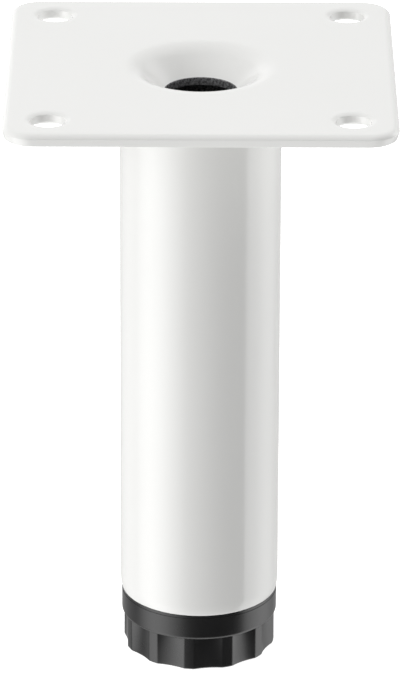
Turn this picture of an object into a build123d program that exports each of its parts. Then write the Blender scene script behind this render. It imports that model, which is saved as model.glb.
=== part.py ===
from build123d import *
import os
from math import acos, atan2, cos, pi, radians, sin, sqrt, tan

# Adjustable cabinet leg in millimetres. +Z is up; the origin is the middle of the foot's base, on the floor.
# A welded plate and tube stand on a moulded foot, which screws in and out of a plug in the tube's lower end.

# Mounting plate: pressed sheet steel with a drawn dish in its middle
PLATE_SIDE = 100.0
PLATE_THICKNESS = 3.0
PLATE_CORNER_RADIUS = 7.5
EDGE_ROLL_INSET = 1.3
EDGE_ROLL_DROP = 1.1
EDGE_ROLL_RADIUS = 4.4
SCREW_SPACING = 77.0
SCREW_HOLE_RADIUS = 4.5
HOLE_ROLL_RADIUS = 0.9
DISH_CLEARANCE = 0.3
DISH_BEND_RADIUS = 8.0
DISH_SLOPE = 42.0
DISH_HOLE_RADIUS = 9.4
PIERCED_EDGE_HEIGHT = 2.2

# Leg tube, its lower end curled in, and the weld that holds it to the plate
TUBE_RADIUS = 21.0
TUBE_WALL = 1.5
TUBE_LENGTH = 144.5
CURL_HEIGHT = 1.8
CURL_INSET = 0.4
WELD_LEG = 2.4
WELD_HOLLOW = 0.35

# Plug in the tube's lower end, with its barbed fins and the nut moulded into its core
LIP_THICKNESS = 0.8
LIP_INSET = 0.05
PLUG_LENGTH = 26.0
PLUG_WALL = 2.0
PLUG_FLOOR = 4.0
PLUG_CLEARANCE = 0.3
FIN_CLEARANCE = 0.08
FIN_COUNT = 3
FIN_START = 8.0
FIN_PITCH = 6.0
FIN_HEIGHT = 2.2
FIN_TIP = 0.7
CORE_RADIUS = 11.6
CORE_COVER = 4.0
WEB_COUNT = 6
WEB_THICKNESS = 1.8
WEB_DROP = 3.0
MOULDED_CLEARANCE = 0.04
NUT_ACROSS_FLATS = 17.0
NUT_HEIGHT = 8.0
NUT_FLOOR = 6.7

# Spindle with a hexagon head, and the washer and clip that stop it at the end of its travel
THREAD_RADIUS = 5.0
THREAD_CLEARANCE = 0.05
SPINDLE_ROOM = 0.5
TRAVEL = 15.0
STOP_CLEARANCE = 0.3
HEAD_ACROSS_FLATS = 17.0
HEAD_HEIGHT = 6.4
HEAD_SEAT = 4.0
HEX_CORNER_CUT = 30.0
NECK_RADIUS = 4.0
NECK_CLEARANCE = 0.05
NECK_END = 2.0
SPINDLE_CHAMFER = 0.6
WASHER_RADIUS = 8.0
WASHER_THICKNESS = 1.6
CLIP_THICKNESS = 0.9
CLIP_PLAY = 0.05
CLIP_RADIUS = 7.0
CLIP_RIM = 1.7
CLIP_MOUTH = 6.4
CLIP_PRONG = 2.2
CLIP_PLACE_COUNT = 4
GROOVE_DEPTH = 0.5

# Foot: one moulding with a plain collar, a ribbed grip and a hollow underside
FOOT_HEIGHT = 15.1
REST_GAP = 0.2
COLLAR_STEP = 0.35
COLLAR_HEIGHT = 5.1
COLLAR_ROUND = 0.2
SHOULDER_HEIGHT = 1.0
GRIP_STEP = 0.55
GRIP_ROUND = 0.5
RIB_COUNT = 12
RIB_TURN = 7.5
RIB_EDGE_ROUND = 0.35
FLUTE_ANGLE = 22.0
FLUTE_RADIUS = 14.0
FOOT_WALL = 2.2
FOOT_ROOF = 4.4
BOSS_RADIUS = 12.5
BASE_RECESS = 0.8
STIFFENER_COUNT = 6
STIFFENER_THICKNESS = 1.6

# Heights that follow from the pieces standing on each other
LIP_BOTTOM = FOOT_HEIGHT + REST_GAP
TUBE_END = LIP_BOTTOM + LIP_THICKNESS
PLATE_UNDERSIDE = TUBE_END + TUBE_LENGTH
PLATE_TOP = PLATE_UNDERSIDE + PLATE_THICKNESS
NUT_BOTTOM = TUBE_END + NUT_FLOOR
CORE_TOP = NUT_BOTTOM + NUT_HEIGHT + CORE_COVER
WASHER_BOTTOM = CORE_TOP + TRAVEL + STOP_CLEARANCE
CLIP_BOTTOM = WASHER_BOTTOM + WASHER_THICKNESS + CLIP_PLAY
SPINDLE_TOP = CLIP_BOTTOM + CLIP_THICKNESS + CLIP_PLAY + NECK_END
FLUTE_TOP = FOOT_HEIGHT - COLLAR_HEIGHT - SHOULDER_HEIGHT

# Radii that follow from the fits
BORE_RADIUS = TUBE_RADIUS - TUBE_WALL
DISH_RADIUS = BORE_RADIUS - DISH_CLEARANCE
PLUG_RADIUS = BORE_RADIUS - CURL_INSET - PLUG_CLEARANCE
FIN_RADIUS = BORE_RADIUS - FIN_CLEARANCE
SPINDLE_HOLE_RADIUS = THREAD_RADIUS + SPINDLE_ROOM
GROOVE_RADIUS = NECK_RADIUS - GROOVE_DEPTH
COLLAR_RADIUS = TUBE_RADIUS - COLLAR_STEP
GRIP_RADIUS = COLLAR_RADIUS - GRIP_STEP
FLUTE_HALF_WIDTH = GRIP_RADIUS * sin(radians(FLUTE_ANGLE / 2))
FLUTE_CENTRE = GRIP_RADIUS * cos(radians(FLUTE_ANGLE / 2)) + sqrt(FLUTE_RADIUS**2 - FLUTE_HALF_WIDTH**2)
FOOT_INSIDE_RADIUS = FLUTE_CENTRE - FLUTE_RADIUS - FOOT_WALL


def turned(*lines):
    """Turns a closed outline of lines in (radius, height) about the leg's axis."""
    return revolve(Plane.XZ * make_face(Curve() + list(lines)), Axis.Z)


def disc(radius, bottom, top):
    """A round bar on the leg's axis between two heights."""
    return Pos(0, 0, bottom) * extrude(Circle(radius), top - bottom)


def hexagon(across_flats, bottom, top):
    """A hexagon bar on the leg's axis between two heights."""
    outline = RegularPolygon(across_flats / 2, 6, major_radius=False)
    return Pos(0, 0, bottom) * extrude(outline, top - bottom)


def corner_cut(across_flats, bottom, top):
    """The turned blank that takes the corners off a hexagon bar at both ends."""
    flat = across_flats / 2
    corner = flat / cos(pi / 6)
    drop = (corner - flat) * tan(radians(HEX_CORNER_CUT))
    return turned(
        Polyline(
            (0, bottom),
            (flat, bottom),
            (corner, bottom + drop),
            (corner, top - drop),
            (flat, top),
            (0, top),
            close=True,
        )
    )


def around(count, shape, turn=0.0):
    """Copies of a shape, evenly spaced about the leg's axis."""
    return [Rot(0, 0, turn + 360.0 * step / count) * shape for step in range(count)]


def spokes(count, thickness, inner, outer, bottom, top):
    """Upright radial walls between two radii and two heights."""
    wall = Box(outer - inner, thickness, top - bottom, align=(Align.MIN, Align.CENTER, Align.MIN))
    return around(count, Pos(inner, 0, bottom) * wall)


def dish():
    """The drawn middle of the plate: a rounded shoulder, a cone and the pierced edge of its hole."""
    slope = radians(DISH_SLOPE)
    inner_bend = DISH_BEND_RADIUS - PLATE_THICKNESS
    centre_height = PLATE_TOP - DISH_BEND_RADIUS
    bend_end = (DISH_RADIUS - DISH_BEND_RADIUS * sin(slope), centre_height + DISH_BEND_RADIUS * cos(slope))
    edge_top = (DISH_HOLE_RADIUS, bend_end[1] - (bend_end[0] - DISH_HOLE_RADIUS) * tan(slope))
    edge_bottom = (DISH_HOLE_RADIUS, edge_top[1] - PIERCED_EDGE_HEIGHT)
    # The lower side leaves its own bend on a tangent that meets the foot of the pierced edge
    across = DISH_RADIUS - edge_bottom[0]
    above = edge_bottom[1] - centre_height
    reach = sqrt(across**2 + above**2)
    lower_slope = atan2(across, above) - acos(inner_bend / reach)
    lower_end = (DISH_RADIUS - inner_bend * sin(lower_slope), centre_height + inner_bend * cos(lower_slope))
    return turned(
        TangentArc((DISH_RADIUS, PLATE_TOP), bend_end, tangent=(-1, 0)),
        Polyline(bend_end, edge_top, edge_bottom, lower_end),
        TangentArc((DISH_RADIUS, PLATE_UNDERSIDE), lower_end, tangent=(-1, 0)),
        Line((DISH_RADIUS, PLATE_UNDERSIDE), (DISH_RADIUS, PLATE_TOP)),
    )


def screw_hole():
    """The punched hole for one fixing screw, its upper edge rolled over, as the material it removes."""
    wall_top = (SCREW_HOLE_RADIUS, PLATE_TOP - HOLE_ROLL_RADIUS)
    rim = (SCREW_HOLE_RADIUS + HOLE_ROLL_RADIUS, PLATE_TOP)
    return turned(
        Polyline(rim, (0, PLATE_TOP), (0, PLATE_UNDERSIDE), (SCREW_HOLE_RADIUS, PLATE_UNDERSIDE), wall_top),
        TangentArc(wall_top, rim, tangent=(0, 1)),
    )


def mounting_plate():
    """The square plate, its upper edge rolled over, with the dish and the four screw holes."""
    outline = RectangleRounded(PLATE_SIDE, PLATE_SIDE, PLATE_CORNER_RADIUS)
    slab = Pos(0, 0, PLATE_UNDERSIDE) * extrude(outline, PLATE_THICKNESS)
    top_face = slab.faces().sort_by(Axis.Z)[-1]
    slab = chamfer(top_face.edges(), EDGE_ROLL_INSET, EDGE_ROLL_DROP, reference=top_face)
    slab = fillet(slab.faces().sort_by(Axis.Z)[-1].edges(), EDGE_ROLL_RADIUS)
    plate = slab - disc(DISH_RADIUS, PLATE_UNDERSIDE, PLATE_TOP) + dish()
    for place in GridLocations(SCREW_SPACING, SCREW_SPACING, 2, 2):
        plate -= place * screw_hole()
    return plate


def leg_tube():
    """The round tube, its lower end curled in to meet the foot's collar."""
    curl_top = TUBE_END + CURL_HEIGHT
    outer_end = (TUBE_RADIUS - CURL_INSET, TUBE_END)
    inner_end = (BORE_RADIUS - CURL_INSET, TUBE_END)
    return turned(
        Polyline((BORE_RADIUS, curl_top), (BORE_RADIUS, PLATE_UNDERSIDE), (TUBE_RADIUS, PLATE_UNDERSIDE),
                 (TUBE_RADIUS, curl_top)),
        TangentArc((TUBE_RADIUS, curl_top), outer_end, tangent=(0, -1)),
        Line(outer_end, inner_end),
        TangentArc((BORE_RADIUS, curl_top), inner_end, tangent=(0, -1)),
    )


def weld_seam():
    """The hollow fillet of weld in the corner between the tube and the plate's underside."""
    corner = (TUBE_RADIUS, PLATE_UNDERSIDE)
    outer = (TUBE_RADIUS + WELD_LEG, PLATE_UNDERSIDE)
    lower = (TUBE_RADIUS, PLATE_UNDERSIDE - WELD_LEG)
    pull = WELD_LEG / 2 - WELD_HOLLOW
    middle = (TUBE_RADIUS + pull, PLATE_UNDERSIDE - pull)
    return turned(Polyline(lower, corner, outer), ThreePointArc(outer, middle, lower))


def fin(bottom):
    """One barbed ring around the plug, steep below and sloping back above."""
    root = PLUG_RADIUS - PLUG_WALL / 2
    tip_bottom = bottom + FIN_TIP / 2
    return turned(
        Polyline(
            (root, bottom),
            (PLUG_RADIUS, bottom),
            (FIN_RADIUS, tip_bottom),
            (FIN_RADIUS, tip_bottom + FIN_TIP),
            (PLUG_RADIUS, bottom + FIN_HEIGHT),
            (root, bottom + FIN_HEIGHT),
            close=True,
        )
    )


def tube_plug():
    """The moulded plug: lip, cup and fins, with a core on webs that holds the nut."""
    floor_top = TUBE_END + PLUG_FLOOR
    plug_top = TUBE_END + PLUG_LENGTH
    inside = PLUG_RADIUS - PLUG_WALL
    lip_radius = TUBE_RADIUS - CURL_INSET - LIP_INSET
    plug = disc(lip_radius, LIP_BOTTOM, TUBE_END) + disc(PLUG_RADIUS, TUBE_END, plug_top)
    plug -= disc(inside, floor_top, plug_top)
    plug += [fin(TUBE_END + FIN_START + FIN_PITCH * step) for step in range(FIN_COUNT)]
    plug += disc(CORE_RADIUS, TUBE_END, CORE_TOP)
    web_ends = (CORE_RADIUS - WEB_THICKNESS, inside + PLUG_WALL / 2)
    plug += spokes(WEB_COUNT, WEB_THICKNESS, *web_ends, TUBE_END, CORE_TOP - WEB_DROP)
    plug -= disc(SPINDLE_HOLE_RADIUS, LIP_BOTTOM, CORE_TOP)
    plug -= hexagon(NUT_ACROSS_FLATS + 2 * MOULDED_CLEARANCE, NUT_BOTTOM, NUT_BOTTOM + NUT_HEIGHT)
    return plug


def captive_nut():
    """The hexagon nut moulded into the plug, its corners cut at both ends."""
    top = NUT_BOTTOM + NUT_HEIGHT
    nut = hexagon(NUT_ACROSS_FLATS, NUT_BOTTOM, top) & corner_cut(NUT_ACROSS_FLATS, NUT_BOTTOM, top)
    return nut - disc(THREAD_RADIUS + THREAD_CLEARANCE, NUT_BOTTOM, top)


def spindle():
    """The adjusting screw: hexagon head, threaded shank, and a neck with the clip's groove."""
    head_top = HEAD_SEAT + HEAD_HEIGHT
    screw = hexagon(HEAD_ACROSS_FLATS, HEAD_SEAT, head_top)
    screw &= corner_cut(HEAD_ACROSS_FLATS, HEAD_SEAT, head_top)
    groove_bottom = CLIP_BOTTOM - CLIP_PLAY
    groove_top = CLIP_BOTTOM + CLIP_THICKNESS + CLIP_PLAY
    screw += turned(
        Polyline(
            (0, HEAD_SEAT),
            (THREAD_RADIUS, HEAD_SEAT),
            (THREAD_RADIUS, WASHER_BOTTOM),
            (NECK_RADIUS, WASHER_BOTTOM),
            (NECK_RADIUS, groove_bottom),
            (GROOVE_RADIUS, groove_bottom),
            (GROOVE_RADIUS, groove_top),
            (NECK_RADIUS, groove_top),
            (NECK_RADIUS, SPINDLE_TOP - SPINDLE_CHAMFER),
            (NECK_RADIUS - SPINDLE_CHAMFER, SPINDLE_TOP),
            (0, SPINDLE_TOP),
            close=True,
        )
    )
    return screw


def stop_washer():
    """The loose washer on the spindle's neck that meets the plug's core at full travel."""
    top = WASHER_BOTTOM + WASHER_THICKNESS
    return disc(WASHER_RADIUS, WASHER_BOTTOM, top) - disc(NECK_RADIUS + NECK_CLEARANCE, WASHER_BOTTOM, top)


def retaining_clip():
    """The open spring clip in the spindle's groove, gripping it with three prongs."""
    top = CLIP_BOTTOM + CLIP_THICKNESS
    grip = GROOVE_RADIUS + MOULDED_CLEARANCE
    rim_inside = CLIP_RADIUS - CLIP_RIM
    clip = disc(CLIP_RADIUS, CLIP_BOTTOM, top) - disc(rim_inside, CLIP_BOTTOM, top)
    prong_ends = (GROOVE_RADIUS / 2, rim_inside + CLIP_RIM / 2)
    prongs = spokes(CLIP_PLACE_COUNT, 2 * CLIP_PRONG, *prong_ends, CLIP_BOTTOM, top)
    clip += prongs[1:]
    clip -= disc(grip, CLIP_BOTTOM, top)
    mouth = Box(CLIP_RADIUS, CLIP_MOUTH, CLIP_THICKNESS, align=(Align.MIN, Align.CENTER, Align.MIN))
    return clip - Pos(0, 0, CLIP_BOTTOM) * mouth


def grip():
    """The ribbed lower part of the foot: hollow flutes scooped from a round, with eased rib edges."""
    flute = Pos(FLUTE_CENTRE, 0) * Circle(FLUTE_RADIUS)
    outline = Circle(GRIP_RADIUS) - around(RIB_COUNT, flute, RIB_TURN)
    outline = fillet(outline.vertices(), RIB_EDGE_ROUND)
    base_round = turned(
        Polyline((0, FLUTE_TOP), (0, 0), (GRIP_RADIUS - GRIP_ROUND, 0)),
        TangentArc((GRIP_RADIUS, GRIP_ROUND), (GRIP_RADIUS - GRIP_ROUND, 0), tangent=(0, -1)),
        Polyline((GRIP_RADIUS, GRIP_ROUND), (GRIP_RADIUS, FLUTE_TOP), (0, FLUTE_TOP)),
    )
    return extrude(outline, FLUTE_TOP) & base_round


def collar():
    """The plain upper part of the foot: a round collar, rounded under to meet the ribs."""
    shoulder_top = FOOT_HEIGHT - COLLAR_HEIGHT
    edge = FOOT_HEIGHT - COLLAR_ROUND
    return turned(
        Polyline((0, FOOT_HEIGHT), (0, FLUTE_TOP), (GRIP_RADIUS, FLUTE_TOP)),
        TangentArc((COLLAR_RADIUS, shoulder_top), (GRIP_RADIUS, FLUTE_TOP), tangent=(0, -1)),
        Line((COLLAR_RADIUS, shoulder_top), (COLLAR_RADIUS, edge)),
        TangentArc((COLLAR_RADIUS, edge), (COLLAR_RADIUS - COLLAR_ROUND, FOOT_HEIGHT), tangent=(0, 1)),
        Line((COLLAR_RADIUS - COLLAR_ROUND, FOOT_HEIGHT), (0, FOOT_HEIGHT)),
    )


def foot():
    """The moulded foot: collar and grip, cored out below around the boss that holds the spindle's head."""
    roof = FOOT_HEIGHT - FOOT_ROOF
    body = collar() + grip()
    hollow = disc(FOOT_INSIDE_RADIUS, 0, roof) - disc(BOSS_RADIUS, BASE_RECESS, roof)
    web_ends = (BOSS_RADIUS - STIFFENER_THICKNESS, FOOT_INSIDE_RADIUS + FOOT_WALL / 2)
    hollow -= spokes(STIFFENER_COUNT, STIFFENER_THICKNESS, *web_ends, BASE_RECESS, roof)
    body -= hollow
    head_size = HEAD_ACROSS_FLATS + 2 * MOULDED_CLEARANCE
    body -= hexagon(head_size, HEAD_SEAT, HEAD_SEAT + HEAD_HEIGHT)
    return body - disc(THREAD_RADIUS + MOULDED_CLEARANCE, HEAD_SEAT, FOOT_HEIGHT)


PIECES = [
    mounting_plate,
    leg_tube,
    weld_seam,
    tube_plug,
    captive_nut,
    spindle,
    stop_washer,
    retaining_clip,
    foot,
]

os.makedirs("parts", exist_ok=True)
for piece in PIECES:
    export_step(piece(), f"parts/{piece.__name__}.step")
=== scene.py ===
"""Looks, light and camera for the adjustable cabinet leg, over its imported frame.

Sizes in the classes are millimetres, as in the part's source, and every mesh is in metres in the same frame.
"""
import logging
import math
from collections.abc import Callable, Iterator, Mapping, Sequence
from contextlib import contextmanager
from dataclasses import dataclass
from enum import Enum
from itertools import pairwise

import bmesh
import bpy
from mathutils import Matrix, Vector


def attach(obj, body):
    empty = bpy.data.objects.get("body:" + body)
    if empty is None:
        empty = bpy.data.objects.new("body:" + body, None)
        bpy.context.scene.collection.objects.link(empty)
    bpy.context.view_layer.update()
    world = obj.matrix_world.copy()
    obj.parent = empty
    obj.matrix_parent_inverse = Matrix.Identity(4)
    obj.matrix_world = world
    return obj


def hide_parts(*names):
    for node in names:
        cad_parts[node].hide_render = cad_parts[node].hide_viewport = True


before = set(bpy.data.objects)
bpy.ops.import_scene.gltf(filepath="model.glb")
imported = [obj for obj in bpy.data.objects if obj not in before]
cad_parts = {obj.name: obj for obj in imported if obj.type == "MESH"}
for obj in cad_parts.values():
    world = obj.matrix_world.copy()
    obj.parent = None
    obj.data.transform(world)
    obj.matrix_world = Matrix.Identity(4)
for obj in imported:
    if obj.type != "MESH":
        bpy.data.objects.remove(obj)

LOG = logging.getLogger("cabinet_leg")
MM = 0.001
MERGE = 0.004 * MM
FULL_TURN = 2 * math.pi

# Limits for picking: how far off a height may be in millimetres, then shares of a direction along z.
SAME_LEVEL = 0.01
UPRIGHT = 0.9
SIDEWAYS = 0.1
DEAD_FLAT = 0.99999

Point = tuple[float, float]
Colour = tuple[float, float, float]
Test = Callable[[Vector, Vector], bool]
Ring = tuple[float, list[float]]


class Pick(Enum):
    """What a selection in edit mode picks."""

    VERTICES = "VERT"
    EDGES = "EDGE"
    FACES = "FACE"


class Slot(Enum):
    """The record's material slots."""

    WHITE = "white_coating"
    BLACK = "black_plastic"
    ZINC = "zinc_steel"


class Body(Enum):
    """The bodies that pieces ride on."""

    LEG = "leg"
    FOOT = "foot"


def arc(centre: Point, radius: float, start: float, end: float, steps: int) -> list[Point]:
    """Points along an arc in the plane of radius and height.

    Args:
        centre: The arc's centre.
        radius: The arc's radius.
        start: Angle of the first point in degrees, from outwards towards up.
        end: Angle of the last point in degrees.
        steps: Number of straight steps along the arc.

    Returns:
        The points, first and last included.
    """
    turns = [math.radians(start + (end - start) * step / steps) for step in range(steps + 1)]
    return [(centre[0] + radius * math.cos(turn), centre[1] + radius * math.sin(turn)) for turn in turns]


def eased(corner: Point, before: Point, after: Point, radius: float, steps: int = 3) -> list[Point]:
    """Points that round one corner of an outline.

    Args:
        corner: The sharp corner.
        before: A point on the line that comes in.
        after: A point on the line that goes out.
        radius: The rounding's radius.
        steps: Number of straight steps along the rounding.

    Returns:
        The points from the line that comes in to the line that goes out.
    """
    middle, start, end = Vector(corner), Vector(before), Vector(after)
    inward, outward = (start - middle).normalized(), (end - middle).normalized()
    half = inward.angle(outward) / 2
    centre = middle + (inward + outward).normalized() * radius / math.sin(half)
    reach = radius / math.tan(half)
    first, last = ((middle + way * reach - centre).normalized() for way in (inward, outward))
    shares = [step / steps for step in range(steps + 1)]
    return [tuple(centre + first.slerp(last, share) * radius) for share in shares]


def through(start: Point, middle: Point, end: Point, steps: int) -> list[Point]:
    """Points along the even curve that passes through three.

    Args:
        start: The first point.
        middle: The point halfway.
        end: The last point.
        steps: Number of straight steps along the curve.

    Returns:
        The points, first and last included.
    """
    pulls = [2 * mid - (first + last) / 2 for first, mid, last in zip(start, middle, end)]
    ways = list(zip(start, pulls, end))
    shares = [step / steps for step in range(steps + 1)]
    return [tuple((1 - t) ** 2 * a + 2 * t * (1 - t) * b + t**2 * c for a, b, c in ways) for t in shares]


class Bench:
    """Operator work on meshes, as it is done by hand."""

    @staticmethod
    def activate(piece: bpy.types.Object) -> None:
        """Selects one object alone and makes it the active one."""
        bpy.ops.object.select_all(action="DESELECT")
        piece.select_set(True)
        bpy.context.view_layer.objects.active = piece

    @staticmethod
    def added(name: str) -> bpy.types.Object:
        """Names the object that an operator has just added and returns it."""
        piece = bpy.context.active_object
        piece.name = name
        piece.data.name = name
        return piece

    @staticmethod
    def start(name: str, primitive: Callable[..., set[str]], **settings: object) -> bpy.types.Object:
        """Adds a primitive with nothing else selected, and applies its place to its mesh.

        Args:
            name: The object's name.
            primitive: The operator that adds it.
            settings: The operator's settings.

        Returns:
            The new object, at the origin.
        """
        bpy.ops.object.select_all(action="DESELECT")
        primitive(**settings)
        bpy.ops.object.transform_apply(location=True, rotation=True, scale=True)
        return Bench.added(name)

    @staticmethod
    @contextmanager
    def editing(piece: bpy.types.Object) -> Iterator[None]:
        """Holds one mesh in edit mode."""
        Bench.activate(piece)
        bpy.ops.object.mode_set(mode="EDIT")
        yield
        bpy.ops.object.mode_set(mode="OBJECT")

    @staticmethod
    def pick(kind: Pick, test: Test, among_selected: bool = False) -> None:
        """Selects what passes a test in the mesh that is being edited.

        Args:
            kind: Vertices, edges or faces.
            test: Takes an element's middle in millimetres, and its normal, or its direction for an edge.
            among_selected: Whether only what is selected now is tried.
        """
        mesh = bmesh.from_edit_mesh(bpy.context.edit_object.data)
        mesh.normal_update()
        elements = {Pick.VERTICES: mesh.verts, Pick.EDGES: mesh.edges, Pick.FACES: mesh.faces}[kind]
        tried = [element for element in elements if element.select or not among_selected]
        wanted = []
        for element in tried:
            if kind is Pick.VERTICES:
                place, normal = element.co, element.normal
            elif kind is Pick.EDGES:
                first, second = (vertex.co for vertex in element.verts)
                place, normal = (first + second) / 2, (second - first).normalized()
            else:
                place, normal = element.calc_center_median(), element.normal
            if test(place / MM, normal):
                wanted.append(element)
        bpy.ops.mesh.select_mode(type=kind.value)
        bpy.ops.mesh.select_all(action="DESELECT")
        for element in wanted:
            element.select_set(True)
        mesh.select_flush_mode()
        bmesh.update_edit_mesh(bpy.context.edit_object.data)

    @staticmethod
    def tidy_mesh() -> None:
        """Merges doubles and turns the faces of the mesh being edited outwards."""
        bpy.ops.mesh.select_all(action="SELECT")
        bpy.ops.mesh.remove_doubles(threshold=MERGE)
        bpy.ops.mesh.normals_make_consistent(inside=False)

    @staticmethod
    def outline(name: str, points: Sequence[Point]) -> bpy.types.Object:
        """Draws a chain of edges in the plane of radius and height.

        Args:
            name: The object's name.
            points: Radius and height of each point, in order.

        Returns:
            The object with the chain as its mesh.
        """
        chain = Bench.start(name, bpy.ops.mesh.primitive_plane_add, size=MM)
        with Bench.editing(chain):
            bpy.ops.mesh.select_mode(type="VERT")
            bpy.ops.mesh.select_all(action="SELECT")
            bpy.ops.mesh.merge(type="CENTER")
            bpy.ops.transform.translate(value=(points[0][0] * MM, 0, points[0][1] * MM))
            for (radius, height), (next_radius, next_height) in pairwise(points):
                step = ((next_radius - radius) * MM, 0, (next_height - height) * MM)
                bpy.ops.mesh.extrude_vertices_move(TRANSFORM_OT_translate={"value": step})
        return chain

    @staticmethod
    def turned(name: str, points: Sequence[Point], steps: int) -> bpy.types.Object:
        """Spins an outline about the leg's axis.

        Args:
            name: The object's name.
            points: Radius and height of each point. A closed outline ends on its first point.
            steps: Number of steps around.

        Returns:
            The turned object.
        """
        piece = Bench.outline(name, points)
        with Bench.editing(piece):
            bpy.ops.mesh.select_all(action="SELECT")
            bpy.ops.mesh.spin(steps=steps, angle=FULL_TURN, center=(0, 0, 0), axis=(0, 0, 1))
            Bench.tidy_mesh()
        return piece

    @staticmethod
    def block(name: str, size: Sequence[float], middle: Sequence[float]) -> bpy.types.Object:
        """Makes a block from its size and its middle in millimetres.

        Args:
            name: The object's name.
            size: Its lengths along x, y and z.
            middle: The place of its middle.

        Returns:
            The block, with its object at the origin.
        """
        block = Bench.start(name, bpy.ops.mesh.primitive_cube_add, size=1.0)
        with Bench.editing(block):
            bpy.ops.mesh.select_all(action="SELECT")
            bpy.ops.transform.resize(value=[length * MM for length in size])
            bpy.ops.transform.translate(value=[place * MM for place in middle])
        return block

    @staticmethod
    def shift(piece: bpy.types.Object, x: float, y: float) -> None:
        """Moves a piece's mesh sideways by millimetres and leaves its object at the origin."""
        with Bench.editing(piece):
            bpy.ops.mesh.select_all(action="SELECT")
            bpy.ops.transform.translate(value=(x * MM, y * MM, 0))

    @staticmethod
    def turn(piece: bpy.types.Object, angle: float) -> None:
        """Turns a piece's mesh about the leg's axis and leaves its object unturned."""
        with Bench.editing(piece):
            bpy.ops.mesh.select_all(action="SELECT")
            bpy.ops.transform.rotate(value=angle, orient_axis="Z", center_override=(0, 0, 0))

    @staticmethod
    def copy(piece: bpy.types.Object, name: str) -> bpy.types.Object:
        """Copies a piece with its own mesh."""
        Bench.activate(piece)
        bpy.ops.object.duplicate(linked=False)
        return Bench.added(name)

    @staticmethod
    def join(piece: bpy.types.Object, others: Sequence[bpy.types.Object]) -> None:
        """Joins other meshes into a piece."""
        Bench.activate(piece)
        for other in others:
            other.select_set(True)
        bpy.ops.object.join()

    @staticmethod
    def modify(piece: bpy.types.Object, kind: str, settings: Mapping[str, object]) -> None:
        """Adds a modifier with its settings and applies it."""
        Bench.activate(piece)
        bpy.ops.object.modifier_add(type=kind)
        modifier = piece.modifiers[-1]
        for name, value in settings.items():
            setattr(modifier, name, value)
        bpy.ops.object.modifier_apply(modifier=modifier.name)

    @staticmethod
    def combine(piece: bpy.types.Object, tool: bpy.types.Object) -> None:
        """Adds a tool's shape to a piece and deletes the tool."""
        Bench.modify(piece, "BOOLEAN", {"operation": "UNION", "solver": "EXACT", "object": tool})
        bpy.data.objects.remove(tool)

    @staticmethod
    def smooth(piece: bpy.types.Object, sharp_from: float = 32.0) -> None:
        """Shades a piece smoothly up to an angle and keeps its flat faces flat."""
        Bench.activate(piece)
        bpy.ops.object.shade_smooth_by_angle(angle=math.radians(sharp_from))
        Bench.modify(piece, "WEIGHTED_NORMAL", {"keep_sharp": True, "weight": 60})


class Value:
    """A shader value that adds a Math node for each operator used on it."""

    def __init__(self, graph: "Graph", socket: bpy.types.NodeSocket) -> None:
        """Wraps one output socket of a graph."""
        self.graph = graph
        self.socket = socket

    def _math(self, operation: str, first: "Number", second: "Number") -> "Value":
        """Adds a Math node for two numbers."""
        return self.graph.add("ShaderNodeMath", "Value", {"operation": operation}, {0: first, 1: second})

    def __add__(self, other: "Number") -> "Value":
        """This value plus another."""
        return self._math("ADD", self, other)

    def __radd__(self, other: "Number") -> "Value":
        """Another value plus this one."""
        return self._math("ADD", other, self)

    def __sub__(self, other: "Number") -> "Value":
        """This value less another."""
        return self._math("SUBTRACT", self, other)

    def __rsub__(self, other: "Number") -> "Value":
        """Another value less this one."""
        return self._math("SUBTRACT", other, self)

    def __mul__(self, other: "Number") -> "Value":
        """This value times another."""
        return self._math("MULTIPLY", self, other)

    def __truediv__(self, other: "Number") -> "Value":
        """This value divided by another."""
        return self._math("DIVIDE", self, other)


Number = Value | float


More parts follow.
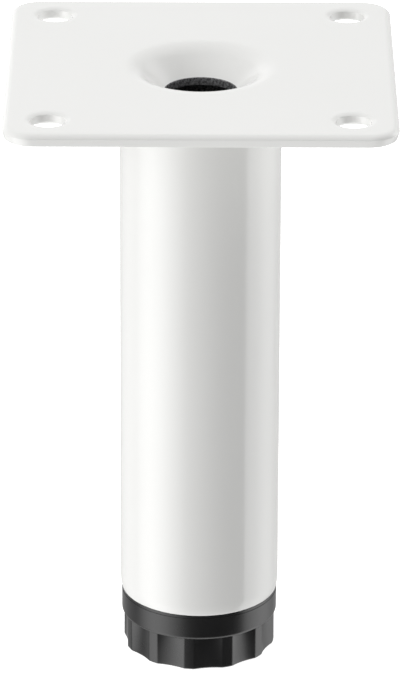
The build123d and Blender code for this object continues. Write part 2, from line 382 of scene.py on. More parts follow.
class Graph:
    """One node tree, with one way to add nodes and link them."""

    def __init__(self, tree: bpy.types.NodeTree) -> None:
        """Empties a node tree and holds it."""
        self.tree = tree
        tree.nodes.clear()

    def add(
        self,
        kind: str,
        output: str | int,
        settings: Mapping[str, object] | None = None,
        inputs: Mapping[str | int, object] | None = None,
    ) -> Value | None:
        """Adds one node.

        Args:
            kind: The node's type.
            output: Name or number of the output that is wanted, or an empty name for none.
            settings: Settings of the node, set first. A ramp's stops are pairs of place and grey level.
            inputs: Values or links by socket name or number.

        Returns:
            The output, or None where the node has none.
        """
        node = self.tree.nodes.new(kind)
        for name, value in (settings or {}).items():
            if name == "stops":
                self._set_stops(node.color_ramp, value)
            else:
                setattr(node, name, value)
        for key, value in (inputs or {}).items():
            if isinstance(value, Value):
                self.tree.links.new(value.socket, node.inputs[key])
            else:
                node.inputs[key].default_value = value
        return None if output == "" else Value(self, node.outputs[output])

    @staticmethod
    def _set_stops(ramp: bpy.types.ColorRamp, stops: Sequence[Point]) -> None:
        """Gives a ramp its stops, from pairs of place and grey level."""
        while len(ramp.elements) > 1:
            ramp.elements.remove(ramp.elements[-1])
        for index, (place, level) in enumerate(stops):
            element = ramp.elements[0] if index == 0 else ramp.elements.new(place)
            element.position = place
            element.color = (level, level, level, 1.0)

    def place(self) -> Value:
        """The point on the piece, in metres."""
        return self.add("ShaderNodeTexCoord", "Object")

    def noise(self, scale: float, detail: float = 2.0, roughness: float = 0.5) -> Value:
        """Noise over the piece, with a number of cells to the metre."""
        inputs = {"Vector": self.place(), "Scale": scale, "Detail": detail, "Roughness": roughness}
        return self.add("ShaderNodeTexNoise", 0, {"noise_dimensions": "3D"}, inputs)

    def ramp(self, value: Value, stops: Sequence[Point]) -> Value:
        """A value taken through a ramp of grey levels."""
        return self.add("ShaderNodeValToRGB", "Color", {"stops": stops}, {"Fac": value})

    def blend(self, factor: Value, first: Colour, second: Colour) -> Value:
        """A colour between two, by a factor."""
        inputs = {0: factor, 6: (*first, 1.0), 7: (*second, 1.0)}
        return self.add("ShaderNodeMix", 2, {"data_type": "RGBA"}, inputs)

    def bump(self, height: Value, depth: float, strength: float) -> Value:
        """A surface normal from a height map that is so many metres deep."""
        inputs = {"Height": height, "Distance": depth, "Strength": strength}
        return self.add("ShaderNodeBump", "Normal", None, inputs)


class Finish:
    """A finish that makes its material once."""

    name: str

    def shade(self, graph: Graph) -> dict[str, object]:
        """The sockets of the surface shader, as values or links."""
        raise NotImplementedError

    def material(self) -> bpy.types.Material:
        """The finish's material, made on first use."""
        known = bpy.data.materials.get(self.name)
        if known is not None:
            return known
        made = bpy.data.materials.new(self.name)
        made.use_nodes = True
        graph = Graph(made.node_tree)
        surface = graph.add("ShaderNodeBsdfPrincipled", "BSDF", None, self.shade(graph))
        graph.add("ShaderNodeOutputMaterial", "", None, {"Surface": surface})
        return made


@dataclass(frozen=True)
class PowderCoat(Finish):
    """Glossy white powder coat: a faint orange peel, with gloss that drifts a little."""

    name: str = "white_powder_coat"
    deep: Colour = (0.780, 0.780, 0.764)
    clear: Colour = (0.802, 0.802, 0.788)
    drift_per_metre: float = 26.0
    gloss: float = 0.10
    gloss_drift: float = 0.05
    index: float = 1.52
    peel_per_metre: float = 620.0
    fine_per_metre: float = 2480.0
    fine_share: float = 0.25
    peel_depth: float = 0.000012
    peel_strength: float = 0.5

    def shade(self, graph: Graph) -> dict[str, object]:
        """White with a soft drift of tone, a varying gloss and the peel as bump."""
        drift = graph.noise(self.drift_per_metre, detail=3.0)
        peel = graph.noise(self.peel_per_metre, detail=1.5, roughness=0.45)
        fine = graph.noise(self.fine_per_metre)
        return {
            "Base Color": graph.blend(drift, self.deep, self.clear),
            "Roughness": self.gloss + fine * self.gloss_drift,
            "IOR": self.index,
            "Normal": graph.bump(peel + fine * self.fine_share, self.peel_depth, self.peel_strength),
        }


@dataclass(frozen=True)
class BareSteelAndShade(Finish):
    """Dark grainy steel with mill scale: bare metal on the pierced edge, and painted shade inside the tube and
    under the dish, where the tube's inside lies unlit.
    """

    name: str = "dark_steel_and_painted_shade"
    scale_colour: Colour = (0.036, 0.036, 0.038)
    bright_colour: Colour = (0.28, 0.28, 0.288)
    grain_per_metre: float = 1500.0
    grain_depth: float = 0.00008
    grain_strength: float = 0.5
    speck_levels: tuple[Point, ...] = ((0.36, 0.0), (0.68, 1.0))
    metallic: float = 0.35
    scale_roughness: float = 0.72
    speck_polish: float = 0.2

    def shade(self, graph: Graph) -> dict[str, object]:
        """Specks of bright metal in dark scale, rougher where it is dark."""
        grain = graph.noise(self.grain_per_metre, detail=4.0, roughness=0.65)
        specks = graph.ramp(grain, self.speck_levels)
        return {
            "Base Color": graph.blend(specks, self.scale_colour, self.bright_colour),
            "Metallic": self.metallic,
            "Roughness": self.scale_roughness - specks * self.speck_polish,
            "Normal": graph.bump(grain, self.grain_depth, self.grain_strength),
        }


@dataclass(frozen=True)
class BlackPlastic(Finish):
    """Satin black moulding: fine spark-eroded grain, and a sheen that drifts with the flow of the melt."""

    name: str = "black_moulded_plastic"
    deep: Colour = (0.0050, 0.0050, 0.0052)
    worn: Colour = (0.0095, 0.0095, 0.0098)
    flow_per_metre: float = 90.0
    gloss: float = 0.22
    gloss_drift: float = 0.14
    index: float = 1.54
    grain_per_metre: float = 3400.0
    grain_depth: float = 0.000012
    grain_strength: float = 0.55

    def shade(self, graph: Graph) -> dict[str, object]:
        """Near black with grain in the bump and the gloss."""
        flow = graph.noise(self.flow_per_metre, detail=3.0, roughness=0.6)
        grain = graph.noise(self.grain_per_metre)
        return {
            "Base Color": graph.blend(flow, self.deep, self.worn),
            "Roughness": self.gloss + flow * self.gloss_drift,
            "IOR": self.index,
            "Normal": graph.bump(grain, self.grain_depth, self.grain_strength),
        }


@dataclass(frozen=True)
class ZincPlate(Finish):
    """Bright zinc plating on turned steel: fine turning marks under a cloudy shine."""

    name: str = "bright_zinc"
    dull: Colour = (0.47, 0.48, 0.49)
    bright: Colour = (0.68, 0.69, 0.70)
    cloud_per_metre: float = 420.0
    gloss: float = 0.24
    gloss_drift: float = 0.16
    rings_per_metre: float = 900.0
    ring_depth: float = 0.00001
    ring_strength: float = 0.3

    def shade(self, graph: Graph) -> dict[str, object]:
        """Metal with rings about the leg's axis and a cloudy tone."""
        cloud = graph.noise(self.cloud_per_metre, detail=3.0, roughness=0.6)
        settings = {"wave_type": "RINGS", "rings_direction": "Z", "wave_profile": "SIN"}
        inputs = {"Vector": graph.place(), "Scale": self.rings_per_metre, "Distortion": 1.2, "Detail": 2.0}
        rings = graph.add("ShaderNodeTexWave", 1, settings, inputs)
        return {
            "Base Color": graph.blend(cloud, self.dull, self.bright),
            "Metallic": 1.0,
            "Roughness": self.gloss + cloud * self.gloss_drift,
            "Normal": graph.bump(rings, self.ring_depth, self.ring_strength),
        }


@dataclass(frozen=True)
class PaleFloor(Finish):
    """The pale matt floor, lit from below as well."""

    name: str = "pale_floor"
    colour: Colour = (0.90, 0.90, 0.90)
    tone_per_metre: float = 3.0
    tone_share: float = 0.995
    roughness: float = 0.9
    glow: float = 0.75

    def shade(self, graph: Graph) -> dict[str, object]:
        """Matt and almost white, with a trace of tone."""
        tone = graph.noise(self.tone_per_metre)
        darker = tuple(level * self.tone_share for level in self.colour)
        return {
            "Base Color": graph.blend(tone, darker, self.colour),
            "Roughness": self.roughness,
            "Specular IOR Level": 0.0,
            "Emission Color": (1.0, 1.0, 1.0, 1.0),
            "Emission Strength": self.glow,
        }


COAT = PowderCoat()
DARK_STEEL_AND_SHADE = BareSteelAndShade()
PLASTIC = BlackPlastic()
ZINC = ZincPlate()


def dress(piece: bpy.types.Object, finish: Finish) -> None:
    """Gives a whole piece one finish."""
    piece.data.materials.clear()
    piece.data.materials.append(finish.material())


def dress_faces(piece: bpy.types.Object, finish: Finish, test: Test) -> None:
    """Gives some faces of a piece a second finish.

    Args:
        piece: The piece, which has its main finish already.
        finish: The second finish.
        test: Takes a face's middle in millimetres and its normal.
    """
    piece.data.materials.append(finish.material())
    last = len(piece.data.materials) - 1
    for face in piece.data.polygons:
        if test(face.center / MM, face.normal):
            face.material_index = last


def hand_over(piece: bpy.types.Object, body: Body, node: str) -> bpy.types.Object:
    """Puts a finished piece on its body in place of a CAD node.

    Args:
        piece: The finished piece.
        body: The body that it rides on.
        node: The CAD node that it stands for.

    Returns:
        The same piece.
    """
    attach(piece, body.value)
    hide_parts(node)
    return piece


def radius_of(place: Vector) -> float:
    """Distance of a place from the leg's axis."""
    return math.hypot(place.x, place.y)


@dataclass
class MountingPlate:
    """The square pressed plate with its dish and four rolled screw holes."""

    top: float = 163.6
    side: float = 100.0
    thickness: float = 3.25
    corner_radius: float = 7.5
    corner_steps: int = 12
    edge_inset: float = 0.635
    edge_drop: float = 1.1
    edge_radius: float = 2.05
    edge_ease: float = 0.22
    edge_taper: float = 0.54
    roll_steps: int = 8
    lower_ease: float = 0.22
    lower_ease_steps: int = 3
    screw_spacing: float = 77.0
    screw_radius: float = 4.5
    screw_bend: float = 2.6
    screw_slope: float = 38.0
    screw_ease: float = 0.2
    screw_low_ease: float = 1.2
    screw_low_ease_steps: int = 5
    screw_taper: float = 0.45
    screw_steps: int = 64
    dish_radius: float = 20.0
    dish_bend: float = 8.0
    dish_slope: float = 42.0
    dish_hole: float = 9.4
    dish_ease: float = 0.5
    dish_ease_steps: int = 4
    shoulder_steps: int = 14
    under_steps: int = 10
    pierced_height: float = 2.2
    dark_steel_margin: float = 0.15
    dish_steps: int = 160

    @property
    def underside(self) -> float:
        """Height of the plate's lower face."""
        return self.top - self.thickness

    def edge_outline(self) -> list[Point]:
        """The rolled edge from the upright side to the flat top, as radius from the middle and height."""
        half = self.side / 2
        corner = (half, self.top - self.edge_drop)
        slope = math.atan2(self.edge_drop, self.edge_inset)
        flat_end = half - self.edge_inset - self.edge_radius * math.tan(slope / 2)
        centre = (flat_end, self.top - self.edge_radius)
        roll = arc(centre, self.edge_radius, 90 - math.degrees(slope), 90, self.roll_steps)
        ease = eased(corner, (half, self.underside), roll[0], self.edge_ease)
        return ease[:-1] + roll

    def slab(self) -> bpy.types.Object:
        """The square blank with rounded corners, its rolled upper edge, and the shear's taper under that."""
        rim = self.edge_outline()
        low = self.underside
        height = rim[0][1] - low
        plate = Bench.block("coated_plate", (self.side, self.side, height), (0, 0, low + height / 2))
        with Bench.editing(plate):
            Bench.pick(Pick.EDGES, lambda place, way: abs(way.z) > UPRIGHT)
            bpy.ops.mesh.bevel(offset=self.corner_radius * MM, segments=self.corner_steps, affect="EDGES")
            Bench.pick(Pick.FACES, lambda place, normal: normal.z > UPRIGHT)
            for (reach, level), (next_reach, next_level) in pairwise(rim):
                step, rise = (reach - next_reach) * MM, (next_level - level) * MM
                bpy.ops.mesh.inset(thickness=step, depth=rise)
            Bench.pick(Pick.VERTICES, lambda place, normal: abs(place.z - low) < SAME_LEVEL)
            taper = 1 - 2 * self.edge_taper / self.side
            bpy.ops.transform.resize(value=(taper, taper, 1), center_override=(0, 0, low * MM))
            Bench.pick(Pick.EDGES, lambda place, way: abs(place.z - low) < SAME_LEVEL and abs(way.z) < SIDEWAYS)
            bpy.ops.mesh.bevel(offset=self.lower_ease * MM, segments=self.lower_ease_steps, affect="EDGES")
            Bench.pick(Pick.FACES, lambda place, normal: abs(normal.z) > DEAD_FLAT)
            bpy.ops.mesh.delete(type="ONLY_FACE")
        return plate

    def screw_places(self) -> list[Point]:
        """The middles of the four screw holes."""
        half = self.screw_spacing / 2
        return [(x, y) for x in (-half, half) for y in (-half, half)]

    @staticmethod
    def fill_face(level: float) -> None:
        """Fills one flat face of the plate being edited, between its rim and the rims of the linings."""
        bpy.ops.mesh.select_mode(type="EDGE")
        bpy.ops.mesh.select_non_manifold(extend=False, use_wire=False, use_multi_face=False, use_verts=False)
        Bench.pick(Pick.EDGES, lambda place, way: abs(place.z - level) < SAME_LEVEL, among_selected=True)
        bpy.ops.mesh.fill(use_beauty=True)

    def screw_lining(self) -> bpy.types.Object:
        """One punched screw hole: the roll-over round it, the punched edge, and its wall that widens downwards."""
        outer = self.screw_radius + self.screw_bend * math.sin(math.radians(self.screw_slope))
        centre = (outer, self.top - self.screw_bend)
        roll = arc(centre, self.screw_bend, 90, 90 + self.screw_slope, self.roll_steps)
        low_corner = (self.screw_radius + self.screw_taper, self.underside)
        edge = eased(roll[-1], roll[-2], low_corner, self.screw_ease)
        end = (outer, self.underside)
        low_edge = eased(low_corner, roll[-1], end, self.screw_low_ease, self.screw_low_ease_steps)
        points = [*roll[:-1], *edge, *low_edge, end]
        return Bench.turned("screw_lining", points, self.screw_steps)

    def dish_lining(self) -> bpy.types.Object:
        """The drawn dish, over its shoulder, down its cone, past the pierced edge and back underneath."""
        slope = math.radians(self.dish_slope)
        inner_bend = self.dish_bend - self.thickness
        centre = (self.dish_radius, self.top - self.dish_bend)
        shoulder = arc(centre, self.dish_bend, 90, 90 + self.dish_slope, self.shoulder_steps)
        lip = (self.dish_hole, shoulder[-1][1] - (shoulder[-1][0] - self.dish_hole) * math.tan(slope))
        foot = (self.dish_hole, lip[1] - self.pierced_height)
        across, above = self.dish_radius - foot[0], foot[1] - centre[1]
        lower_slope = math.atan2(across, above) - math.acos(inner_bend / math.hypot(across, above))
        lower = arc(centre, inner_bend, 90 + math.degrees(lower_slope), 90, self.under_steps)
        rounded_lip = eased(lip, shoulder[-1], foot, self.dish_ease, self.dish_ease_steps)
        rounded_foot = eased(foot, lip, lower[0], self.lower_ease)
        return Bench.turned("dish_lining", [*shoulder, *rounded_lip, *rounded_foot, *lower], self.dish_steps)

    def build(self) -> bpy.types.Object:
        """Makes the plate, dresses it and hands it over.

        Returns:
            The finished plate.
        """
        plate = self.slab()
        linings = [self.dish_lining()]
        pattern = self.screw_lining()
        for index, place in enumerate(self.screw_places()):
            lining = Bench.copy(pattern, f"screw_lining_{index}")
            Bench.shift(lining, *place)
            linings.append(lining)
        bpy.data.objects.remove(pattern)
        Bench.join(plate, linings)
        with Bench.editing(plate):
            self.fill_face(self.top)
            self.fill_face(self.underside)
            Bench.tidy_mesh()
        Bench.smooth(plate)
        dress(plate, COAT)

        def is_bare_or_painted_shade(place: Vector, normal: Vector) -> bool:
            """Whether a face is the pierced edge, which is bare steel, or the dish's underside inside the tube,
            which gets the dark steel as painted shade.
            """
            away = radius_of(place)
            return away < self.dish_hole + self.dark_steel_margin or (away < self.dish_radius and normal.z < -SIDEWAYS)

        dress_faces(plate, DARK_STEEL_AND_SHADE, is_bare_or_painted_shade)
        return hand_over(plate, Body.LEG, "mounting_plate")


@dataclass
class LegTube:
    """The round tube with its lower end curled in, and the weld under the plate."""

    radius: float = 21.0
    wall: float = 1.5
    bottom: float = 16.1
    top: float = 160.6
    curl_height: float = 3.4
    curl_inset: float = 0.45
    curl_steps: int = 8
    end_ease: float = 0.2
    coated_rim: float = 0.6
    dark_steel_margin: float = 0.05
    steps: int = 192
    weld_leg: float = 2.4
    weld_hollow: float = 0.35
    weld_steps: int = 8
    weld_margin: float = 0.05
    weld_sharp: float = 60.0
    weld_ripples: int = 52
    weld_lifts: tuple[float, ...] = (0.0, 0.05, 0.11, 0.13, 0.09, 0.03)

    def curl(self, radius: float) -> list[Point]:
        """The curled end of one wall face, from the straight tube down to the end."""
        bend = (self.curl_height**2 + self.curl_inset**2) / (2 * self.curl_inset)
        turn = math.degrees(math.asin(self.curl_height / bend))
        return arc((radius - bend, self.bottom + self.curl_height), bend, 0, -turn, self.curl_steps)

    def tube(self) -> bpy.types.Object:
        """The tube, turned from its wall's outline."""
        bore = self.radius - self.wall
        outer, inner = self.curl(self.radius), self.curl(bore)
        outer_end = eased(outer[-1], outer[-2], inner[-1], self.end_ease)
        inner_end = eased(inner[-1], outer[-1], inner[-2], self.end_ease)
        walls = [(self.radius, self.top), *outer[:-1], *outer_end, *inner_end, *inner[-2::-1], (bore, self.top)]
        tube = Bench.turned("coated_tube", [*walls, walls[0]], self.steps)
        Bench.smooth(tube)
        dress(tube, COAT)
        # The tube's inside above the coated rim gets the dark steel as painted shade for its unlit inside.
        within, above = bore + self.dark_steel_margin, self.bottom + self.coated_rim
        dress_faces(tube, DARK_STEEL_AND_SHADE, lambda place, normal: radius_of(place) < within and place.z > above)
        return hand_over(tube, Body.LEG, "leg_tube")

    def weld(self) -> bpy.types.Object:
        """The hollow fillet of weld, laid down in overlapping ripples."""
        corner = (self.radius, self.top)
        outer, lower = (self.radius + self.weld_leg, self.top), (self.radius, self.top - self.weld_leg)
        throat = self.weld_leg / 2 - self.weld_hollow
        bead = through(outer, (self.radius + throat, self.top - throat), lower, self.weld_steps)
        steps = self.weld_ripples * len(self.weld_lifts)
        weld = Bench.turned("weld_bead", [corner, *bead, corner], steps)
        for phase, lift in enumerate(self.weld_lifts):

            def is_in_phase(place: Vector, normal: Vector) -> bool:
                """Whether a point of the bead's face is at this phase of its ripple."""
                step = round(math.atan2(place.y, place.x) / FULL_TURN * steps)
                free = min(radius_of(place) - self.radius, self.top - place.z) > self.weld_margin
                return free and step % len(self.weld_lifts) == phase

            with Bench.editing(weld):
                Bench.pick(Pick.VERTICES, is_in_phase)
                bpy.ops.transform.shrink_fatten(value=lift * MM)
        Bench.smooth(weld, self.weld_sharp)
        dress(weld, COAT)
        return hand_over(weld, Body.LEG, "weld_seam")


@dataclass
class Foot:
    """The black moulding: a round collar over a grip with hollow flutes, cored out underneath."""

    height: float = 15.25
    collar_radius: float = 20.65
    collar_height: float = 5.25
    collar_ease: float = 0.06
    shoulder_height: float = 1.0
    grip_radius: float = 20.1
    base_round: float = 0.5
    inner_ease: float = 0.3
    round_steps: int = 5
    shoulder_steps: int = 8
    rib_count: int = 12
    rib_turn: float = 7.5
    rib_ease: float = 0.10
    flute_angle: float = 22.0
    flute_radius_low: float = 18.0
    flute_radius_high: float = 10.5
    flute_levels: int = 6
    inside_radius: float = 17.0
    roof: float = 4.55
    boss_radius: float = 12.5
    base_recess: float = 0.8
    stiffener_count: int = 6
    stiffener_thickness: float = 1.6
    stiffener_reach: float = 1.1
    stiffener_rise: float = 0.5
    spindle_hole: float = 5.04
    head_radius: float = 9.9
    head_bottom: float = 4.0
    head_top: float = 10.4
    sector_steps: int = 60
    sharp_from: float = 28.0

    @property
    def steps(self) -> int:
        """Number of points around the foot."""
        return self.rib_count * self.sector_steps

    def grip_reach(self, phase: int, flute_radius: float) -> float:
        """Radius of the grip, a number of steps away from the middle of a flute.

        Args:
            phase: The number of steps.
            flute_radius: How tightly the flute is scooped at this height.

        Returns:
            The radius, with the rib's edge eased.
        """
        half = math.radians(self.flute_angle / 2)
        half_width = self.grip_radius * math.sin(half)
        centre = self.grip_radius * math.cos(half) + math.sqrt(flute_radius**2 - half_width**2)
        turn = FULL_TURN * phase / self.steps
        side = centre * math.sin(turn)
        if abs(side) >= flute_radius:
            return self.grip_radius
        flute = centre * math.cos(turn) - math.sqrt(flute_radius**2 - side**2)
        gap = (flute - self.grip_radius) / self.rib_ease
        share = min(max(0.5 + 0.5 * gap, 0.0), 1.0)
        mixed = flute + (self.grip_radius - flute) * share
        return mixed - self.rib_ease * share * (1 - share)

    def rings(self) -> list[Ring]:
        """Every ring of the moulding from the boss's underside to the spindle's seat.

        Returns:
            Height of each ring, and its radius at each phase of half a sector.
        """
        phases = range(self.sector_steps // 2 + 1)
        inside, ease = self.inside_radius, self.inner_ease
        ceiling = self.height - self.roof
        shoulder_top = self.height - self.collar_height
        ledge = shoulder_top - self.shoulder_height

        def plain(height: float, radius: float) -> Ring:
            """A round ring."""
            return height, [radius] * len(phases)

        def fluted(height: float, inset: float) -> Ring:
            """A ring with the grip's outline, drawn in by an inset. The flutes are scooped deeper higher up."""
            share = (height / ledge) ** 2
            flute_radius = self.flute_radius_low * (self.flute_radius_high / self.flute_radius_low) ** share
            return height, [self.grip_reach(phase, flute_radius) - inset for phase in phases]

        under = [
            plain(self.base_recess, self.boss_radius - ease),
            plain(self.base_recess + ease, self.boss_radius),
            plain(ceiling, self.boss_radius),
            plain(ceiling, inside),
            plain(ease, inside),
            plain(0.0, inside + ease),
        ]
        base = arc((-self.base_round, self.base_round), self.base_round, -90, 0, self.round_steps)
        sides = [fluted(height, -reach) for reach, height in base]
        climb = (ledge - self.base_round) / self.flute_levels
        sides += [fluted(self.base_round + climb * (step + 1), 0.0) for step in range(self.flute_levels)]
        over = [plain(ledge, self.grip_radius)]
        step = self.collar_radius - self.grip_radius
        bend = (self.shoulder_height**2 + step**2) / (2 * step)
        sweep = math.degrees(math.asin(self.shoulder_height / bend))
        shoulder = arc((self.collar_radius - bend, shoulder_top), bend, -sweep, 0, self.shoulder_steps)
        edge_centre = (self.collar_radius - self.collar_ease, self.height - self.collar_ease)
        edge = arc(edge_centre, self.collar_ease, 0, 90, self.round_steps)
        over += [plain(height, radius) for radius, height in [*shoulder[1:], *edge]]
        seat = [
            plain(self.height, self.spindle_hole + ease),
            plain(self.height - ease, self.spindle_hole),
            plain(self.head_top, self.spindle_hole),
            plain(self.head_top, self.head_radius),
            plain(self.head_bottom, self.head_radius),
        ]
        return under + sides + over + seat

    def phase_of(self, place: Vector) -> int:
        """How many steps a place is from the middle of the nearest flute."""
        turn = math.degrees(math.atan2(place.y, place.x)) - self.rib_turn
        step = round(turn / 360 * self.steps) % self.sector_steps
        return min(step, self.sector_steps - step)

    def raise_rings(self, rings: Sequence[Ring]) -> None:
        """Extrudes the ring being edited, which is the first, through all the others.

        Args:
            rings: Every ring of the moulding.
        """
        for (height, reaches), (next_height, next_reaches) in pairwise(rings):
            rise = (0, 0, (next_height - height) * MM)
            bpy.ops.mesh.extrude_edges_move(TRANSFORM_OT_translate={"value": rise})
            factors = [after / before for before, after in zip(reaches, next_reaches)]
            centre = (0, 0, next_height * MM)
            if math.isclose(max(factors), min(factors)):
                bpy.ops.transform.resize(value=(factors[0], factors[0], 1), center_override=centre)
                continue
            for phase, factor in enumerate(factors):
                self._resize_phase(phase, factor, centre)

    def _resize_phase(self, phase: int, factor: float, centre: tuple[float, float, float]) -> None:
        """Resizes those points of the selected ring that are at one phase, and selects the ring again."""
        mesh = bmesh.from_edit_mesh(bpy.context.edit_object.data)
        edges = [edge for edge in mesh.edges if edge.select]
        others = [vertex for vertex in mesh.verts if vertex.select and self.phase_of(vertex.co) != phase]
        for vertex in others:
            vertex.select_set(False)
        bpy.ops.mesh.select_mode(type="VERT")
        bpy.ops.transform.resize(value=(factor, factor, 1), center_override=centre)
        bpy.ops.mesh.select_mode(type="EDGE")
        for edge in edges:
            edge.select_set(True)

    def build(self) -> bpy.types.Object:
        """Makes the foot, dresses it and hands it over.

        Returns:
            The finished foot.
        """
        rings = self.rings()
        height, reaches = rings[0]
        foot = Bench.start(
            "moulded_foot",
            bpy.ops.mesh.primitive_circle_add,
            vertices=self.steps,
            radius=reaches[0] * MM,
            fill_type="NOTHING",
            location=(0, 0, height * MM),
        )
        with Bench.editing(foot):
            bpy.ops.mesh.select_mode(type="EDGE")
            bpy.ops.mesh.select_all(action="SELECT")
            bpy.ops.mesh.edge_face_add()
            bpy.ops.mesh.select_mode(type="EDGE")
            self.raise_rings(rings)
            bpy.ops.mesh.edge_face_add()
            Bench.tidy_mesh()
        pattern = self.stiffener()
        for index in range(self.stiffener_count):
            wall = Bench.copy(pattern, f"stiffener_{index}")
            Bench.turn(wall, FULL_TURN * index / self.stiffener_count)
            Bench.combine(foot, wall)
        bpy.data.objects.remove(pattern)
        Bench.smooth(foot, self.sharp_from)
        dress(foot, PLASTIC)
        return hand_over(foot, Body.FOOT, "foot")

    def stiffener(self) -> bpy.types.Object:
        """The upright wall between the boss and the grip, under the roof, that the others are copied from."""
        inner = self.boss_radius - self.stiffener_thickness
        outer = self.inside_radius + self.stiffener_reach
        low, high = self.base_recess, self.height - self.roof + self.stiffener_rise
        size = (outer - inner, self.stiffener_thickness, high - low)
        return Bench.block("stiffener", size, ((inner + outer) / 2, 0, (low + high) / 2))


@dataclass
class Spindle:
    """The adjusting screw: hexagon head, rolled thread, and the neck with the clip's groove."""

    head_bottom: float = 4.0
    head_height: float = 6.4
    head_across: float = 17.0
    head_sides: int = 6
    head_ease: float = 0.7
    head_ease_steps: int = 3
    thread_radius: float = 5.0
    thread_depth: float = 0.92
    pitch: float = 1.5
    crest_share: float = 0.125
    root_share: float = 0.25
    thread_steps: int = 48
    thread_start: float = 2.3626
    spare_turns: int = 3
    overlap: float = 0.2
    shank_top: float = 50.1
    neck_radius: float = 4.0
    groove_radius: float = 3.5
    groove_bottom: float = 51.7
    groove_top: float = 52.7
    top: float = 54.7
    top_ease: float = 0.6
    neck_steps: int = 64
    sharp_from: float = 30.0

    def head(self) -> bpy.types.Object:
        """The hexagon head, its corners eased at both ends."""
        middle = self.head_bottom + self.head_height / 2
        half_side = math.pi / self.head_sides
        head = Bench.start(
            "threaded_spindle",
            bpy.ops.mesh.primitive_cylinder_add,
            vertices=self.head_sides,
            radius=self.head_across / 2 / math.cos(half_side) * MM,
            depth=self.head_height * MM,
            location=(0, 0, middle * MM),
            rotation=(0, 0, half_side),
        )
        with Bench.editing(head):
            Bench.pick(Pick.EDGES, lambda place, way: abs(way.z) < SIDEWAYS)
            bpy.ops.mesh.bevel(offset=self.head_ease * MM, segments=self.head_ease_steps, affect="EDGES")
        return head

    def thread(self) -> bpy.types.Object:
        """The rolled thread between the head and the neck, cut off square where no point of it lies."""
        low, high = self.head_bottom + self.head_height - self.overlap, self.shank_top
        root = self.thread_radius - self.thread_depth
        flank = (1 - self.crest_share - self.root_share) / 2 * self.pitch
        heights = [0.0, self.root_share * self.pitch]
        heights += [heights[-1] + flank, heights[-1] + flank + self.crest_share * self.pitch, self.pitch]
        start = low - self.thread_start * self.pitch
        reaches = [root, root, self.thread_radius, self.thread_radius, root]
        thread = Bench.outline("thread", [(reach, start + height) for reach, height in zip(reaches, heights)])
        settings = {
            "axis": "Z",
            "angle": FULL_TURN,
            "screw_offset": self.pitch * MM,
            "steps": self.thread_steps,
            "render_steps": self.thread_steps,
            "iterations": math.ceil((high - low) / self.pitch) + self.spare_turns,
        }
        Bench.modify(thread, "SCREW", settings)
        with Bench.editing(thread):
            Bench.tidy_mesh()
            for level, clear_inner in ((low, True), (high, False)):
                bpy.ops.mesh.select_all(action="SELECT")
                bpy.ops.mesh.bisect(
                    plane_co=(0, 0, level * MM),
                    plane_no=(0, 0, 1),
                    use_fill=True,
                    clear_inner=clear_inner,
                    clear_outer=not clear_inner,
                )
            Bench.tidy_mesh()
        return thread

    def neck(self) -> bpy.types.Object:
        """The plain neck that carries the washer, with the clip's groove and a chamfered end."""
        ease, bottom = self.top_ease, self.shank_top - self.overlap
        points = [
            (0.0, bottom),
            (self.neck_radius, bottom),
            (self.neck_radius, self.groove_bottom),
            (self.groove_radius, self.groove_bottom),
            (self.groove_radius, self.groove_top),
            (self.neck_radius, self.groove_top),
            (self.neck_radius, self.top - ease),
            (self.neck_radius - ease, self.top),
            (0.0, self.top),
        ]
        return Bench.turned("neck", points, self.neck_steps)

    def build(self) -> bpy.types.Object:
        """Makes the spindle, dresses it and hands it over.

        Returns:
            The finished spindle.
        """
        spindle = self.head()
        Bench.join(spindle, [self.thread(), self.neck()])
        Bench.smooth(spindle, self.sharp_from)
        dress(spindle, ZINC)
        return hand_over(spindle, Body.FOOT, "spindle")


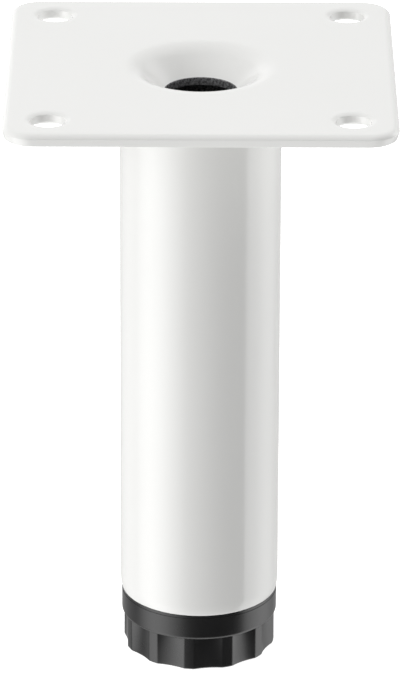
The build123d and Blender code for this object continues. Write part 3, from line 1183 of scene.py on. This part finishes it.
@dataclass
class LightTent:
    """A tent of soft light: its low and high walls by angle and level, and a roof that darkens to one side."""

    strength: float = 4.0
    ground: float = 0.42
    low_walls: tuple[Point, ...] = (
        (-180.0, 0.17), (-150.0, 0.14), (-125.0, 0.12), (-104.0, 0.08), (-88.0, 0.43), (-74.0, 0.66),
        (-57.0, 0.65), (-33.0, 0.32), (-18.0, 0.05), (-6.0, 0.02), (69.0, 0.02), (71.0, 0.49),
        (104.0, 0.51), (125.0, 0.29), (140.0, 0.12), (180.0, 0.17),
    )
    high_walls: tuple[Point, ...] = (
        (-180.0, 0.28), (-150.0, 0.34), (-120.0, 0.10), (-90.0, 0.17), (-70.0, 0.71), (-50.0, 0.48),
        (-30.0, 0.36), (-15.0, 0.17), (0.0, 0.04), (15.0, 0.02), (35.0, 0.11), (50.0, 0.16),
        (65.0, 0.10), (90.0, 0.15), (105.0, 0.70), (120.0, 0.68), (150.0, 0.15), (180.0, 0.28),
    )
    roof: tuple[Point, ...] = ((-1.0, 0.04), (-0.5, 0.09), (-0.2, 0.27), (0.3, 0.28), (1.0, 0.26))
    roof_turn: float = 40.0
    ground_rise: tuple[Point, ...] = ((-60.0, 1.0), (-44.0, 0.0))
    wall_rise: tuple[Point, ...] = ((-12.0, 0.0), (-4.0, 1.0))
    roof_rise: tuple[Point, ...] = ((24.0, 0.0), (42.0, 1.0))

    def hang(self) -> None:
        """Makes the tent as the scene's world."""
        world = bpy.data.worlds.new("light_tent")
        bpy.context.scene.world = world
        world.use_nodes = True
        graph = Graph(world.node_tree)
        split = {"Vector": graph.add("ShaderNodeTexCoord", "Generated")}
        x, y, z = (graph.add("ShaderNodeSeparateXYZ", axis, None, split) for axis in "XYZ")
        around = graph.add("ShaderNodeMath", "Value", {"operation": "ARCTAN2"}, {0: x, 1: y * -1.0})
        upwards = graph.add("ShaderNodeMath", "Value", {"operation": "ARCSINE"}, {0: z})
        turn, rise = around / FULL_TURN + 0.5, upwards / math.pi + 0.5
        low, high = (
            graph.ramp(turn, [(angle / 360 + 0.5, level) for angle, level in stops])
            for stops in (self.low_walls, self.high_walls)
        )
        below, above, top = (
            graph.ramp(rise, [(angle / 180 + 0.5, level) for angle, level in stops])
            for stops in (self.ground_rise, self.wall_rise, self.roof_rise)
        )
        turned = math.radians(self.roof_turn)
        along = y * math.cos(turned) - x * math.sin(turned)
        roof = graph.ramp(along * 0.5 + 0.5, [((way + 1) / 2, level) for way, level in self.roof])
        walls = (low * (1 - above) + high * above) * (1 - top - below)
        light = walls + top * roof + below * self.ground
        glow = graph.add("ShaderNodeBackground", "Background", None, {"Color": light, "Strength": self.strength})
        graph.add("ShaderNodeOutputWorld", "", None, {"Surface": glow})


@dataclass
class Studio:
    """The floor, a soft lamp and the camera."""

    floor_side: float = 6000.0
    lamp_side: float = 400.0
    lamp_power: float = 0.12
    lamp_place: tuple[float, float, float] = (-40.0, -170.0, 500.0)
    lamp_aim: tuple[float, float, float] = (-40.0, -120.0, 163.0)
    camera_place: tuple[float, float, float] = (0.0, -1387.1, 682.1)
    camera_fall: float = 23.193
    camera_roll: float = 0.2
    focal_pixels: float = 5738.8
    frame_height: float = 673.0
    sensor_width: float = 36.0
    sight: tuple[float, float] = (0.05, 50.0)

    def lay_floor(self) -> None:
        """Lays the floor under the foot. The tent's light reaches the leg from below as well."""
        floor = Bench.start("floor", bpy.ops.mesh.primitive_plane_add, size=self.floor_side * MM)
        dress(floor, PaleFloor())
        floor.visible_diffuse = False
        floor.visible_glossy = False
        floor.visible_shadow = False

    def hang_lamp(self) -> None:
        """Hangs the soft lamp that lifts the plate's near side."""
        data = bpy.data.lights.new("soft_lamp", "AREA")
        data.size = self.lamp_side * MM
        data.energy = self.lamp_power
        lamp = bpy.data.objects.new("soft_lamp", data)
        bpy.context.scene.collection.objects.link(lamp)
        lamp.location = Vector(self.lamp_place) * MM
        aim = Vector(self.lamp_aim) * MM - lamp.location
        lamp.rotation_euler = aim.to_track_quat("-Z", "Y").to_euler()

    def set_camera(self) -> None:
        """Sets the camera at the photograph's place, with its long side on the sensor's width."""
        data = bpy.data.cameras.new("photo_camera")
        data.sensor_fit = "AUTO"
        data.sensor_width = self.sensor_width
        data.lens = self.sensor_width * self.focal_pixels / self.frame_height
        data.clip_start, data.clip_end = self.sight
        camera = bpy.data.objects.new("photo_camera", data)
        bpy.context.scene.collection.objects.link(camera)
        camera.location = Vector(self.camera_place) * MM
        tilt = Matrix.Rotation(math.radians(90 - self.camera_fall), 3, "X")
        roll = Matrix.Rotation(math.radians(self.camera_roll), 3, "Z")
        camera.rotation_euler = (tilt @ roll).to_euler()
        bpy.context.scene.camera = camera

    def set_tones(self) -> None:
        """Shows tones as they are, without a film curve."""
        settings = bpy.context.scene.view_settings
        settings.view_transform = "Standard"
        settings.look = "None"
        settings.exposure = 0.0
        settings.gamma = 1.0


def dress_nodes(nodes: Mapping[str, bpy.types.Object]) -> None:
    """Gives the CAD nodes that stay in view their finishes.

    Args:
        nodes: The CAD nodes by name.
    """
    finishes: dict[str, Finish] = {
        "tube_plug": PLASTIC,
        "captive_nut": ZINC,
        "stop_washer": ZINC,
        "retaining_clip": ZINC,
    }
    for name, finish in finishes.items():
        dress(nodes[name], finish)
        LOG.info("dressed %s in %s", name, finish.name)


def main() -> None:
    """Builds every piece in order, then the light, floor and camera."""
    logging.basicConfig(level=logging.INFO, format="%(name)s: %(message)s")
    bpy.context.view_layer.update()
    tube = LegTube()
    pieces = [MountingPlate().build(), tube.tube(), tube.weld(), Foot().build(), Spindle().build()]
    for piece in pieces:
        LOG.info("made %s with %d faces", piece.name, len(piece.data.polygons))
    dress_nodes(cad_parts)
    LightTent().hang()
    studio = Studio()
    studio.lay_floor()
    studio.hang_lamp()
    studio.set_camera()
    studio.set_tones()


if __name__ == "__main__":
    main()
